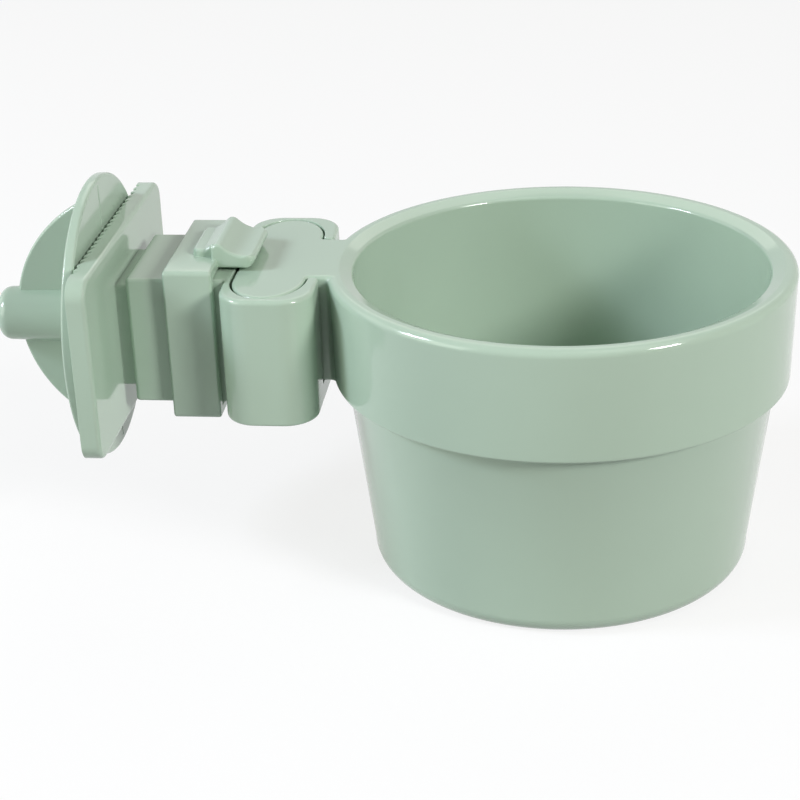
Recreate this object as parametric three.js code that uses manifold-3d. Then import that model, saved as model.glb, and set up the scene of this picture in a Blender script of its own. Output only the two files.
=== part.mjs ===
// A clamp-on food bowl for a small animal's cage.
// A wing nut and a toothed plate grip the cage wires. Behind the plate a square shank ends in a C-shaped
// socket, the bowl's T-shaped tongue drops into that socket, and a collar that slides on the shank
// carries a latch whose lip stands over the tongue.
//
// Millimetres. X runs from the cage wall towards the bowl, Y across, Z up.
// The origin lies on the clamp bolt's axis, in the plane of the plate's tooth tips.

import * as THREE from 'three';
import { mergeVertices } from 'three/addons/utils/BufferGeometryUtils.js';
import Module from 'manifold-3d';

const wasm = await Module();
wasm.setup();

// Bowl
const rimRadius = 50.35;
const rimRound = 2;
const rimFlat = 0.3;
const rimSlope = 2.1;
const rimDrop = 0.9;
const rimInnerRound = 1.3;
const bandHeight = 24.4;
const bandDraft = 0.6;
const bandStep = 2.8;
const cupTaper = 5.3;
const cupFootRound = 4;
const cupWall = 2.9;
const bowlHeight = 68.7;
const bowlFloor = 3;
const insideFootRound = 7;

// Tongue on the bowl
const tongueLength = 48.6;
const tongueWidth = 15.8;
const tongueEndRise = 11;
const tongueFootStep = 0.2;
const tongueNeckWidth = 23.8;
const tongueNeckReach = 3;

// Receiver
const shankLength = 21.5;
const shankWall = 2.25;
const boltRise = 0.5;
const socketFloor = 4.1;
const socketBackWall = 1.3;
const socketLipWall = 2.2;
const socketEndWall = 1.7;
const socketEndFlat = 6;
const headWall = 9.6;

// Lock collar with its thumb latch
const collarWall = 2.35;
const collarCornerRadius = 1.6;
const collarLength = 10.5;
const lockGap = 2.2;
const latchWidth = 18.6;
const latchPadWidth = 15;
const latchPadSet = 3.1;
const latchPadLength = 3;
const latchPadRise = 1.6;
const latchCrestRise = 3.4;
const latchCrestLength = 0.8;
const latchEdgeSlope = 0.4;
const latchOverhang = 8.1;
const latchSaddleSet = 4;
const latchSaddleRise = 0.5;
const latchLipRise = 0.9;
const latchLipRound = 0.95;
const latchGap = 0.75;

// Clamp plate
const plateWidth = 69.8;
const plateHeight = 40.8;
const plateThickness = 4.2;
const plateCornerRadius = 4.4;
const plateNeckLength = 3;
const toothPitch = 2.8;
const toothDepth = 1.1;
const toothMargin = 4.2;

// Clamp bolt and its thread insert
const boltDiameter = 6;
const boltChamfer = 0.75;
const boltPastInsert = 5.85;
const boltHeadFlats = 10;
const boltHeadThickness = 4;
const boltHeadSet = 0.6;
const insertWall = 1.2;
const insertLength = 12;
const insertSet = 0.5;

// Wing nut
const discRadius = 31.4;
const discRimRound = 0.9;
const discRimFlat = 0.6;
const discGap = 0.65;
const finInset = 4.3;
const finReach = 18.45;
const finThickness = 2.6;
const bossWall = 1.2;
const bossEndWall = 3.6;
const bossEndRound = 2.6;
const boltEndRoom = 3;

// Clearances, and how far a cut runs past the face that it opens
const slideClearance = 0.35;
const seatClearance = 0.3;
const holeClearance = 0.3;
const cutMargin = 1;

// Facets
const roundSegments = 48;
const bowlSegments = 72;
const cornerSegments = 5;

// The bowl's radii, from the rim inwards and down
const bandFootRadius = rimRadius - bandDraft;
const cupTopRadius = bandFootRadius - bandStep;
const cupFootRadius = cupTopRadius - cupTaper;
const rimCrestRadius = rimRadius - rimRound - rimFlat;
const rimInnerRadius = rimCrestRadius - rimSlope - rimInnerRound;

// Square sections that slide in one another, from the tongue's height outwards and inwards
const tongueHeight = bandHeight - tongueFootStep;
const shankSide = tongueHeight + seatClearance + socketFloor;
const collarSide = shankSide + 2 * (slideClearance + collarWall);
const spigotHoleSide = shankSide - 2 * shankWall;
const spigotSide = spigotHoleSide - 2 * slideClearance;
const shankMiddle = -boltRise;
const topLevel = shankMiddle + shankSide / 2;
const tongueFoot = topLevel - tongueHeight;

// Places along X, from the cage wall towards the bowl
const shankStart = plateThickness + plateNeckLength;
const shankEnd = shankStart + shankLength;
const collarEnd = shankEnd - lockGap;
const collarStart = collarEnd - collarLength;
const pocketBack = shankEnd + socketBackWall;
const tongueStart = pocketBack + slideClearance;
const tongueEnd = tongueStart + tongueWidth;
const socketEnd = tongueEnd + slideClearance + socketLipWall;
const bowlAxisX = tongueEnd + tongueNeckReach + rimRadius;
const boltHeadFace = pocketBack - boltHeadSet;
const boltHeadSeat = boltHeadFace - boltHeadThickness;
const spigotHoleEnd = boltHeadSeat - seatClearance - headWall;
const spigotEnd = spigotHoleEnd - seatClearance;

// Places along X, from the cage wall away from the bowl
const discThickness = 2 * discRimRound + discRimFlat;
const discFace = -discGap;
const discBack = discFace - discThickness;
const discMiddle = discFace - discThickness / 2;
const insertFace = discFace - insertSet;
const insertEnd = insertFace - insertLength;
const boltEnd = insertEnd - boltPastInsert;
const boreEnd = boltEnd - boltEndRoom;
const bossEnd = boreEnd - bossEndWall;

// Round sizes about the bolt's axis
const boltRadius = boltDiameter / 2;
const boltHoleRadius = boltRadius + holeClearance;
const insertRadius = boltHoleRadius + insertWall;
const insertSeatRadius = insertRadius + holeClearance;
const bossRadius = insertSeatRadius + bossWall;

// Gives a closed three.js geometry as a solid that can be joined and cut.
function solidOf(geometry) {
  const bare = geometry.index ? geometry.toNonIndexed() : geometry.clone();
  bare.deleteAttribute('normal');
  bare.deleteAttribute('uv');
  const merged = mergeVertices(bare, 1e-4);
  return new wasm.Manifold(new wasm.Mesh({
    numProp: 3,
    vertProperties: new Float32Array(merged.attributes.position.array),
    triVerts: new Uint32Array(merged.index.array),
  }));
}

// Gives a solid back as a three.js geometry.
function geometryOf(solid) {
  const mesh = solid.getMesh();
  const geometry = new THREE.BufferGeometry();
  geometry.setAttribute('position', new THREE.BufferAttribute(mesh.vertProperties, 3));
  geometry.setIndex(new THREE.BufferAttribute(mesh.triVerts, 1));
  geometry.computeVertexNormals();
  return geometry;
}

// A plan outline (X, Y) drawn out along Z.
function uprightSolid(outline, bottom, top) {
  const geometry = new THREE.ExtrudeGeometry(outline, {
    depth: top - bottom,
    bevelEnabled: false,
    curveSegments: cornerSegments,
  });
  geometry.translate(0, 0, bottom);
  return solidOf(geometry);
}

// A cross-section (Y, Z) drawn out along X.
function lengthwaysSolid(section, start, end) {
  const geometry = new THREE.ExtrudeGeometry(section, {
    depth: end - start,
    bevelEnabled: false,
    curveSegments: cornerSegments,
  });
  const turn = new THREE.Matrix4().makeBasis(
    new THREE.Vector3(0, 1, 0),
    new THREE.Vector3(0, 0, 1),
    new THREE.Vector3(1, 0, 0),
  );
  geometry.applyMatrix4(turn);
  geometry.translate(start, 0, 0);
  return solidOf(geometry);
}

// A side profile (X, Z) drawn out across Y, centred on the middle plane.
function crosswaysSolid(profile, width, curveSegments = cornerSegments) {
  const geometry = new THREE.ExtrudeGeometry(profile, { depth: width, bevelEnabled: false, curveSegments });
  geometry.rotateX(Math.PI / 2);
  geometry.translate(0, width / 2, 0);
  return solidOf(geometry);
}

// A profile of (radius, X) points turned about the bolt's axis.
function turnedSolid(profile) {
  const points = profile.map(([radius, x]) => new THREE.Vector2(radius, x));
  const geometry = new THREE.LatheGeometry(points, roundSegments);
  geometry.rotateZ(-Math.PI / 2);
  return solidOf(geometry);
}

// A profile of (radius, height) points turned about the bowl's own axis, with heights from the rim's top.
function bowlSolid(profile) {
  const points = profile.map(([radius, height]) => new THREE.Vector2(radius, height));
  const geometry = new THREE.LatheGeometry(points, bowlSegments);
  geometry.rotateX(Math.PI / 2);
  geometry.translate(bowlAxisX, 0, topLevel);
  return solidOf(geometry);
}

// Points of a profile along an arc, from one angle to another.
function arcPoints(centreA, centreB, radius, from, to) {
  return Array.from({ length: cornerSegments + 1 }, (_, i) => {
    const angle = from + ((to - from) * i) / cornerSegments;
    return [centreA + radius * Math.cos(angle), centreB + radius * Math.sin(angle)];
  });
}

// A rectangle with rounded corners about a centre.
function roundedRectangle(width, height, radius, centreX = 0, centreY = 0) {
  const right = centreX + width / 2;
  const left = centreX - width / 2;
  const top = centreY + height / 2;
  const bottom = centreY - height / 2;
  const outline = new THREE.Shape();
  outline.moveTo(left + radius, bottom);
  outline.lineTo(right - radius, bottom);
  outline.absarc(right - radius, bottom + radius, radius, -Math.PI / 2, 0, false);
  outline.lineTo(right, top - radius);
  outline.absarc(right - radius, top - radius, radius, 0, Math.PI / 2, false);
  outline.lineTo(left + radius, top);
  outline.absarc(left + radius, top - radius, radius, Math.PI / 2, Math.PI, false);
  outline.lineTo(left, bottom + radius);
  outline.absarc(left + radius, bottom + radius, radius, Math.PI, 1.5 * Math.PI, false);
  return outline;
}

// A regular polygon measured across its flats, with one flat facing up, at a height above the bolt's axis.
function flatsSection(sides, flats, middle = 0) {
  const corner = flats / 2 / Math.cos(Math.PI / sides);
  return new THREE.Shape(Array.from({ length: sides }, (_, i) => {
    const angle = Math.PI / 2 + ((2 * i + 1) * Math.PI) / sides;
    return new THREE.Vector2(corner * Math.cos(angle), middle + corner * Math.sin(angle));
  }));
}

// The round hole that the bolt passes through.
function boltHole(start, end) {
  return turnedSolid([
    [0, start],
    [boltHoleRadius, start],
    [boltHoleRadius, end],
    [0, end],
  ]);
}

// The T-shaped tongue in plan: an oblong head with elliptical ends and a neck towards the bowl.
// A clearance grows the outline, which gives the socket's pocket.
function tonguePlan(neckEnd, clearance) {
  const centreX = (tongueStart + tongueEnd) / 2;
  const halfWidth = tongueWidth / 2 + clearance;
  const endRise = tongueEndRise + clearance;
  const endCentre = tongueLength / 2 - tongueEndRise;
  const halfNeck = tongueNeckWidth / 2 + clearance;
  const outline = new THREE.Shape();
  outline.moveTo(neckEnd, -halfNeck);
  outline.lineTo(neckEnd, halfNeck);
  outline.lineTo(centreX + halfWidth, halfNeck);
  outline.lineTo(centreX + halfWidth, endCentre);
  outline.absellipse(centreX, endCentre, halfWidth, endRise, 0, Math.PI, false, 0);
  outline.lineTo(centreX - halfWidth, -endCentre);
  outline.absellipse(centreX, -endCentre, halfWidth, endRise, Math.PI, 2 * Math.PI, false, 0);
  outline.lineTo(centreX + halfWidth, -halfNeck);
  return outline;
}

// Bowl: a stepped cup with the tongue on its rim band, hollowed out by the space for the food.
function makeBowl() {
  const foot = -bowlHeight;
  const taper = Math.atan2(cupTaper, bowlHeight - bandHeight);
  const roundReach = Math.tan((Math.PI / 2 - taper) / 2);
  const footCentre = cupFootRadius - cupFootRound * roundReach;
  const outside = bowlSolid([
    [0, foot],
    ...arcPoints(footCentre, foot + cupFootRound, cupFootRound, -Math.PI / 2, -taper),
    [cupTopRadius, -bandHeight],
    [bandFootRadius, -bandHeight],
    ...arcPoints(rimRadius - rimRound, -rimRound, rimRound, 0, Math.PI / 2),
    [0, 0],
  ]);
  const floor = foot + bowlFloor;
  const floorRadius = cupFootRadius - cupWall + bowlFloor * Math.tan(taper);
  const floorCentre = floorRadius - insideFootRound * roundReach;
  const hollow = bowlSolid([
    [0, floor],
    ...arcPoints(floorCentre, floor + insideFootRound, insideFootRound, -Math.PI / 2, -taper),
    [cupTopRadius - cupWall, -bandHeight],
    ...arcPoints(rimCrestRadius - rimSlope, -rimDrop - rimInnerRound, rimInnerRound, Math.PI, Math.PI / 2),
    [rimCrestRadius, 0],
    [rimCrestRadius, cutMargin],
    [0, cutMargin],
  ]);
  const tongue = uprightSolid(tonguePlan(bowlAxisX, 0), tongueFoot, topLevel);
  return outside.add(tongue).subtract(hollow);
}

// Receiver: square shank and C-shaped socket, with a square hole for the plate's spigot, a hole for the
// bolt, and a six-sided seat that keeps the bolt's head from turning.
function makeReceiver() {
  const shank = lengthwaysSolid(flatsSection(4, shankSide, shankMiddle), shankStart, pocketBack);
  const socketDepth = socketEnd - shankEnd;
  const socketLength = tongueLength + 2 * (slideClearance + socketEndWall);
  const cornerRadius = (socketDepth - socketEndFlat) / 2;
  const socketOutline = roundedRectangle(socketDepth, socketLength, cornerRadius, shankEnd + socketDepth / 2);
  const socket = uprightSolid(socketOutline, topLevel - shankSide, topLevel);
  const pocket = uprightSolid(
    tonguePlan(socketEnd + cutMargin, slideClearance), tongueFoot - seatClearance, topLevel + cutMargin,
  );
  const spigotHole = lengthwaysSolid(
    flatsSection(4, spigotHoleSide, shankMiddle), shankStart - cutMargin, spigotHoleEnd,
  );
  const headSeat = lengthwaysSolid(
    flatsSection(6, boltHeadFlats + 2 * holeClearance), boltHeadSeat - seatClearance, tongueStart,
  );
  return shank.add(socket).subtract(pocket).subtract(spigotHole).subtract(headSeat)
    .subtract(boltHole(shankStart, tongueStart));
}

// Lock collar: a square sleeve, with a latch on top that rises from a narrow pad to a wider crest, dips for the
// thumb and ends in an upturned lip over the tongue.
function makeLockCollar() {
  const sleeve = lengthwaysSolid(
    roundedRectangle(collarSide, collarSide, collarCornerRadius, 0, shankMiddle), collarStart, collarEnd,
  );
  const lipEnd = collarEnd + latchOverhang;
  const bore = lengthwaysSolid(
    flatsSection(4, shankSide + 2 * slideClearance, shankMiddle), collarStart - cutMargin, lipEnd + cutMargin,
  );
  const collarTop = shankMiddle + collarSide / 2;
  const padEnd = collarEnd - latchPadSet;
  const padStart = padEnd - latchPadLength;
  const padTop = collarTop + latchPadRise;
  const crest = collarTop + latchCrestRise;
  const crestStart = collarEnd - latchCrestLength / 2;
  const crestEnd = collarEnd + latchCrestLength / 2;
  const saddle = collarTop + latchSaddleRise;
  const lipTop = collarTop + latchLipRise;
  const underside = topLevel + latchGap;
  const pad = new THREE.Shape();
  pad.moveTo(padStart, underside);
  pad.lineTo(padStart, collarTop);
  pad.lineTo(padStart + latchEdgeSlope, padTop);
  pad.lineTo(padEnd, padTop);
  pad.lineTo(crestStart, crest);
  pad.lineTo(collarEnd, crest);
  pad.lineTo(collarEnd, underside);
  const thumb = new THREE.Shape();
  thumb.moveTo(crestStart, underside);
  thumb.lineTo(crestStart, crest);
  thumb.lineTo(crestEnd, crest);
  thumb.quadraticCurveTo(collarEnd + latchSaddleSet, saddle, lipEnd - latchLipRound, lipTop);
  thumb.quadraticCurveTo(lipEnd, lipTop, lipEnd, lipTop - latchLipRound);
  thumb.lineTo(lipEnd - latchLipRound, underside);
  const latch = crosswaysSolid(pad, latchPadWidth).add(crosswaysSolid(thumb, latchWidth));
  return sleeve.add(latch).subtract(bore);
}

// Clamp plate: a rounded plate with upright saw teeth towards the cage wires and a square spigot behind it.
function makeClampPlate() {
  const half = plateWidth / 2;
  const toothCount = Math.floor((plateWidth - 2 * toothMargin) / toothPitch);
  const firstTooth = -(toothCount * toothPitch) / 2;
  const teeth = new THREE.Shape();
  teeth.moveTo(plateThickness, half);
  teeth.lineTo(0, half);
  teeth.lineTo(0, -firstTooth);
  for (let i = toothCount - 1; i >= 0; i -= 1) {
    const tip = firstTooth + i * toothPitch;
    teeth.lineTo(toothDepth, tip + toothPitch);
    teeth.lineTo(0, tip);
  }
  teeth.lineTo(0, -half);
  teeth.lineTo(plateThickness, -half);
  const toothed = uprightSolid(teeth, -plateHeight / 2, plateHeight / 2);
  const faceOutline = roundedRectangle(plateWidth, plateHeight, plateCornerRadius);
  const face = lengthwaysSolid(faceOutline, -cutMargin, plateThickness + cutMargin);
  const spigot = lengthwaysSolid(flatsSection(4, spigotSide, shankMiddle), toothDepth, spigotEnd);
  return toothed.intersect(face).add(spigot).subtract(boltHole(-cutMargin, spigotEnd + cutMargin));
}

// Clamp bolt: a six-sided head held in the receiver, and a shank that reaches into the wing nut.
function makeClampBolt() {
  const shank = turnedSolid([
    [0, boltEnd],
    [boltRadius - boltChamfer, boltEnd],
    [boltRadius, boltEnd + boltChamfer],
    [boltRadius, boltHeadSeat + boltHeadThickness / 2],
    [0, boltHeadSeat + boltHeadThickness / 2],
  ]);
  return shank.add(lengthwaysSolid(flatsSection(6, boltHeadFlats), boltHeadSeat, boltHeadFace));
}

// Thread insert: the bush in the wing nut's boss that runs on the bolt.
function makeThreadInsert() {
  return turnedSolid([
    [boltHoleRadius, insertEnd],
    [insertRadius, insertEnd],
    [insertRadius, insertFace],
    [boltHoleRadius, insertFace],
    [boltHoleRadius, insertEnd],
  ]);
}

// Wing nut: clamp disc, grip fin and closed boss in one piece, bored for the insert and the bolt's end.
function makeWingNut() {
  const rimCentre = discRadius - discRimRound;
  const disc = turnedSolid([
    [0, discBack],
    ...arcPoints(rimCentre, discBack + discRimRound, discRimRound, -Math.PI / 2, 0),
    ...arcPoints(rimCentre, discFace - discRimRound, discRimRound, 0, Math.PI / 2),
    [0, discFace],
  ]);
  const boss = turnedSolid([
    [0, bossEnd],
    ...arcPoints(bossRadius - bossEndRound, bossEnd + bossEndRound, bossEndRound, -Math.PI / 2, 0),
    [bossRadius, discMiddle],
    [0, discMiddle],
  ]);
  const finHalf = discRadius - finInset;
  const finRadius = (finHalf ** 2 + finReach ** 2) / (2 * finReach);
  const finCentre = discBack - finReach + finRadius;
  const rootAngle = Math.acos((finCentre - discMiddle) / finRadius);
  const finProfile = new THREE.Shape();
  finProfile.absarc(finCentre, 0, finRadius, Math.PI - rootAngle, Math.PI + rootAngle, false);
  const fin = crosswaysSolid(finProfile, finThickness, roundSegments / 2);
  const seatEnd = insertEnd - seatClearance;
  const bore = turnedSolid([
    [0, boreEnd],
    [boltHoleRadius, boreEnd],
    [boltHoleRadius, seatEnd],
    [insertSeatRadius, seatEnd],
    [insertSeatRadius, discFace + cutMargin],
    [0, discFace + cutMargin],
  ]);
  return disc.add(boss).add(fin).subtract(bore);
}

const pieces = [
  { name: 'bowl', solid: makeBowl(), color: 0xaac3b1, roughness: 0.28, metalness: 0 },
  { name: 'receiver', solid: makeReceiver(), color: 0xa8c0ad, roughness: 0.3, metalness: 0 },
  { name: 'lock_collar', solid: makeLockCollar(), color: 0xaac2b0, roughness: 0.3, metalness: 0 },
  { name: 'clamp_plate', solid: makeClampPlate(), color: 0xa9c1ae, roughness: 0.3, metalness: 0 },
  { name: 'clamp_bolt', solid: makeClampBolt(), color: 0xb9bcc0, roughness: 0.35, metalness: 1 },
  { name: 'thread_insert', solid: makeThreadInsert(), color: 0xc3a15c, roughness: 0.35, metalness: 1 },
  { name: 'wing_nut', solid: makeWingNut(), color: 0xa6bfac, roughness: 0.3, metalness: 0 },
];

const clampOnBowl = new THREE.Group();
for (const { name, solid, color, roughness, metalness } of pieces) {
  const material = new THREE.MeshStandardMaterial({ color, roughness, metalness });
  const mesh = new THREE.Mesh(geometryOf(solid), material);
  mesh.name = name;
  clampOnBowl.add(mesh);
}

export default clampOnBowl;
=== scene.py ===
import bmesh
import bpy
import numpy as np
from mathutils import Matrix, Vector


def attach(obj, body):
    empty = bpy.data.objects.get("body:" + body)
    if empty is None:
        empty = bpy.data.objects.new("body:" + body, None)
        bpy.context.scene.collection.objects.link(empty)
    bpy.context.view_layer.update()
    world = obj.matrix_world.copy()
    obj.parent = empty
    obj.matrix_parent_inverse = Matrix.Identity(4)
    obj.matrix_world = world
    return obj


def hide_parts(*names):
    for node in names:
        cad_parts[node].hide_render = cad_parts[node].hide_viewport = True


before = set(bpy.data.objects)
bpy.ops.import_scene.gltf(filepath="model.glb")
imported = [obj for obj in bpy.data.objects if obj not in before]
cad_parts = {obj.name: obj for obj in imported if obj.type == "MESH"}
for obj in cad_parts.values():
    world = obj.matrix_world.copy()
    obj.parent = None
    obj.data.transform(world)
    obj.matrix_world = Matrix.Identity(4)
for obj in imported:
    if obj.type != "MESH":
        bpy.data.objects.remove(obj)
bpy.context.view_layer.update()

# Receiver: the square shank and C-shaped socket that everything else hangs on. It is one glossy sage-green
# injection moulding, cored for the plate's square spigot and for the bolt, with every outside edge rounded.
# Sizes are millimetres in the frame of the solids, as in all the sections below.
MM = 0.001
SHANK_START, SHANK_END, SHANK_HALF, SHANK_MIDDLE = 7.2, 28.7, 14.3, -0.5
TOP = SHANK_MIDDLE + SHANK_HALF
SOCKET_END, SOCKET_HALF, SOCKET_CORNER, SOCKET_FLOOR = 48.7, 26.35, 7.0, -10.7
POCKET_BACK, POCKET_FRONT, POCKET_STRAIGHT, POCKET_RISE = 30.0, 46.5, 13.3, 11.35
SLOT_HALF, LIP_ROUND, FAR_SNUG = 12.25, 0.9, 0.2
SHANK_CORNER, SHANK_ROOT, SHANK_EDGE, FOOT_EDGE = 1.0, 0.5, 0.7, 0.6
SOCKET_EDGE, LIP_EDGE, POCKET_EDGE = 1.0, 0.5, 0.25
SPIGOT_HOLE_HALF, SPIGOT_HOLE_END = 12.05, 15.5
BOLT_HOLE, BOLT_SEAT, BOLT_SEAT_FLATS = 3.3, 25.1, 10.6
SLIDE_GAP, SEAT_GAP, CUT_PAST = 0.35, 0.3, 1.0
CORNER_STEPS, POCKET_STEPS, ROUND_FACETS = 12, 40, 48
SAGE = (0.405, 0.527, 0.42)


def rounded_path(corners, radii, steps=8, closed=True):
    """A path through corners, each replaced by a tangent arc of its radius. An arc starts at radius times
    tan(turn / 2) before its corner, and a point on it lies radius * sin(a) on along the way in and
    radius * (1 - cos(a)) to the side of the turn. An open path keeps its two ends as they are."""
    corners = np.asarray(corners, float)
    middle = corners if closed else corners[1:-1]
    way_in = middle - (np.roll(corners, 1, axis=0) if closed else corners[:-2])
    way_out = (np.roll(corners, -1, axis=0) if closed else corners[2:]) - middle
    way_in /= np.linalg.norm(way_in, axis=1, keepdims=True)
    way_out /= np.linalg.norm(way_out, axis=1, keepdims=True)
    turn = np.arctan2(way_in[:, 0] * way_out[:, 1] - way_in[:, 1] * way_out[:, 0], (way_in * way_out).sum(1))
    radii = np.broadcast_to(np.asarray(radii, float), len(middle))
    side = np.stack([-way_in[:, 1], way_in[:, 0]], -1) * np.sign(turn)[:, None]
    start = middle - way_in * (radii * np.tan(np.abs(turn) / 2))[:, None]
    angle = np.abs(turn)[:, None] * np.linspace(0, 1, steps + 1)
    along = (radii[:, None] * np.sin(angle))[..., None] * way_in[:, None]
    across = (radii[:, None] * (1 - np.cos(angle)))[..., None] * side[:, None]
    arcs = (start[:, None] + along + across).reshape(-1, 2)
    return arcs if closed else np.concatenate([corners[:1], arcs, corners[-1:]])


outer_half = rounded_path(
    [(SHANK_START, 0), (SHANK_START, -SHANK_HALF), (SHANK_END, -SHANK_HALF), (SHANK_END, -SOCKET_HALF),
     (SOCKET_END, -SOCKET_HALF), (SOCKET_END, -SLOT_HALF - LIP_ROUND)],
    [SHANK_CORNER, SHANK_ROOT, SOCKET_CORNER, SOCKET_CORNER], steps=CORNER_STEPS, closed=False,
)


def pocket_half(snug):
    """Half of the pocket from above, from the rounded lip of its slot round a half ellipse to the middle of
    its back. snug brings its end and its front that much closer to the tongue. The lip leaves out the points
    that its neighbours give."""
    front = POCKET_FRONT - snug
    lip = rounded_path(
        [(SOCKET_END, -SLOT_HALF - LIP_ROUND), (SOCKET_END, -SLOT_HALF), (front, -SLOT_HALF),
         (front, -POCKET_STRAIGHT)],
        [LIP_ROUND, LIP_ROUND], closed=False,
    )[2:-1]
    turn = np.linspace(0, -np.pi, POCKET_STEPS + 1)
    end = np.stack([(POCKET_BACK + front) / 2 + (front - POCKET_BACK) / 2 * np.cos(turn),
                    -POCKET_STRAIGHT + (POCKET_RISE - snug) * np.sin(turn)], -1)
    return np.concatenate([lip, end, [(POCKET_BACK, 0)]])


# The outline from above, near half first, and the round of the upper edge at each of its points
near_pocket = pocket_half(0)
far_pocket = (pocket_half(FAR_SNUG)[::-1] * (1, -1))[1:]
far_outer = (outer_half[::-1] * (1, -1))[:-1]
socket_path = np.concatenate([outer_half, near_pocket, far_pocket, far_outer])
on_shank = 1 + 2 * (CORNER_STEPS + 1)
on_lip = len(near_pocket) - POCKET_STEPS - 2
edge_half = np.concatenate([
    np.full(on_shank, SHANK_EDGE),
    np.full(len(outer_half) - on_shank - 1, SOCKET_EDGE),
    [LIP_EDGE],
    np.linspace(LIP_EDGE, POCKET_EDGE, on_lip),
    np.full(len(near_pocket) - on_lip, POCKET_EDGE),
])
socket_edge = np.concatenate([edge_half, edge_half[::-1][1:-1]])
EDGE_MARGIN, EDGE_STEPS = 0.2, 6


def edge_rows(foot, head, foot_round, head_round, margin=EDGE_MARGIN, steps=EDGE_STEPS):
    """Rows of (inset, height) up a wall: a margin of the lower face, a quarter circle, the wall with a margin
    at each end, a quarter circle and a margin of the upper face. A round of zero leaves a sharp end."""
    angle = np.linspace(0, np.pi / 2, steps + 1)
    ones = np.ones_like(np.asarray(foot_round, float) + head_round + foot + head)
    foot, head, low, high = (np.asarray(v, float) * ones for v in (foot, head, foot_round, head_round))
    rise, lie = 1 - np.cos(angle), 1 - np.sin(angle)
    rows = [(low + margin, foot)]
    rows += [(low * b, foot + low * a) for a, b in zip(rise, lie)]
    rows += [(0 * ones, foot + low + margin), (0 * ones, head - high - margin)]
    rows += [(high * a, head - high * b) for a, b in zip(rise, lie)]
    rows += [(high + margin, head)]
    return np.array(rows)


socket_rows = edge_rows(SOCKET_FLOOR, TOP, 0, socket_edge)[EDGE_STEPS + 2:]
socket_rows[0] = (0 * socket_edge, SOCKET_FLOOR + 0 * socket_edge)
base_path = np.concatenate([outer_half, far_outer])
base_rows = edge_rows(TOP - 2 * SHANK_HALF, SOCKET_FLOOR, FOOT_EDGE, 0)[:-EDGE_STEPS - 1]
base_rows[-1] = (0, SOCKET_FLOOR)
floor_path = np.concatenate([outer_half[-1:], near_pocket, far_pocket, outer_half[-1:] * (1, -1)])
floor_points = np.concatenate([floor_path, np.full((len(floor_path), 1), SOCKET_FLOOR)], -1)
PLAN, LENGTHWAYS, CROSSWAYS = (0, 1, 2), (2, 0, 1), (0, 2, 1)


def outward(path):
    """The outward step at each point of an anticlockwise path that moves every edge out by one: the two
    neighbouring edges' normals added, over one plus their dot product."""
    edge = np.roll(path, -1, axis=0) - path
    normal = np.stack([edge[:, 1], -edge[:, 0]], -1)
    normal /= np.linalg.norm(normal, axis=1, keepdims=True)
    before = np.roll(normal, 1, axis=0)
    return (normal + before) / (1 + (normal * before).sum(1, keepdims=True))


def swept(path, rows, axes):
    """Points of a wall: the path moved in by each row's inset and put at that row's height. axes says which
    of the path's two directions and the height become X, Y and Z."""
    inset, height = (np.reshape(v, (len(rows), -1)) for v in (rows[:, 0], rows[:, 1]))
    flat = path - outward(path) * inset[..., None]
    points = np.concatenate([flat, np.broadcast_to(height[..., None], flat.shape[:2] + (1,))], -1)
    return points[..., axes]


def skin(rows, round_rows=False, caps=True):
    """Points and faces of a grid whose columns close on themselves. The rows close too, or the first and the
    last row are each filled with one flat face."""
    count, columns = rows.shape[:2]
    index = np.arange(count * columns).reshape(count, columns)
    upper = np.roll(index, -1, axis=0) if round_rows else index[1:]
    lower = index if round_rows else index[:-1]
    faces = np.stack([lower, np.roll(lower, -1, 1), np.roll(upper, -1, 1), upper], -1).reshape(-1, 4).tolist()
    if caps and not round_rows:
        faces += [index[0, ::-1].tolist(), index[-1].tolist()]
    return rows.reshape(-1, 3), faces


def walls_and_lid(rows, lid_row):
    """A skin with one flat face on its first (0) or last (-1) row, and the other end open."""
    points, faces = skin(rows)
    return points, faces[:-2] + [faces[-2 if lid_row == 0 else -1]]


CREASE_DEGREES, WELD_METRES = 38, 2e-6


def soften(made):
    """Smooth shading, with a crease wherever two faces turn by more than the crease angle."""
    made.data.polygons.foreach_set("use_smooth", np.ones(len(made.data.polygons), bool))
    made.data.set_sharp_from_angle(angle=np.radians(CREASE_DEGREES))


def piece(name, *skins):
    """One mesh object of several skins: their points in metres, joined where they meet, faces outward."""
    points, faces, first = [], [], 0
    for skin_points, skin_faces in skins:
        points.append(skin_points)
        faces += [[first + i for i in face] for face in skin_faces]
        first += len(skin_points)
    mesh = bpy.data.meshes.new(name)
    mesh.from_pydata((np.concatenate(points) * MM).tolist(), [], faces)
    work = bmesh.new()
    work.from_mesh(mesh)
    bmesh.ops.remove_doubles(work, verts=work.verts, dist=WELD_METRES)
    bmesh.ops.recalc_face_normals(work, faces=work.faces)
    work.to_mesh(mesh)
    work.free()
    made = bpy.data.objects.new(name, mesh)
    bpy.context.scene.collection.objects.link(made)
    soften(made)
    return made


receiver = piece(
    "receiver_moulding",
    walls_and_lid(swept(socket_path, socket_rows, PLAN), -1),
    walls_and_lid(swept(base_path, base_rows, PLAN), 0),
    (floor_points, [list(range(len(floor_points)))]),
)


def ring(sides, flats, middle=0.0):
    """A polygon of that many sides as points at even angles: half the flats over the cosine of the angle
    from the middle of the nearest side. No sides gives a circle of that diameter."""
    angle = np.arange(ROUND_FACETS) * 2 * np.pi / ROUND_FACETS
    bend = np.zeros(ROUND_FACETS)
    if sides:
        bend = (angle - np.pi / 2 + np.pi / sides) % (2 * np.pi / sides) - np.pi / sides
    reach = flats / 2 / np.cos(bend)
    return np.stack([reach * np.cos(angle), middle + reach * np.sin(angle)], -1)


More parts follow.
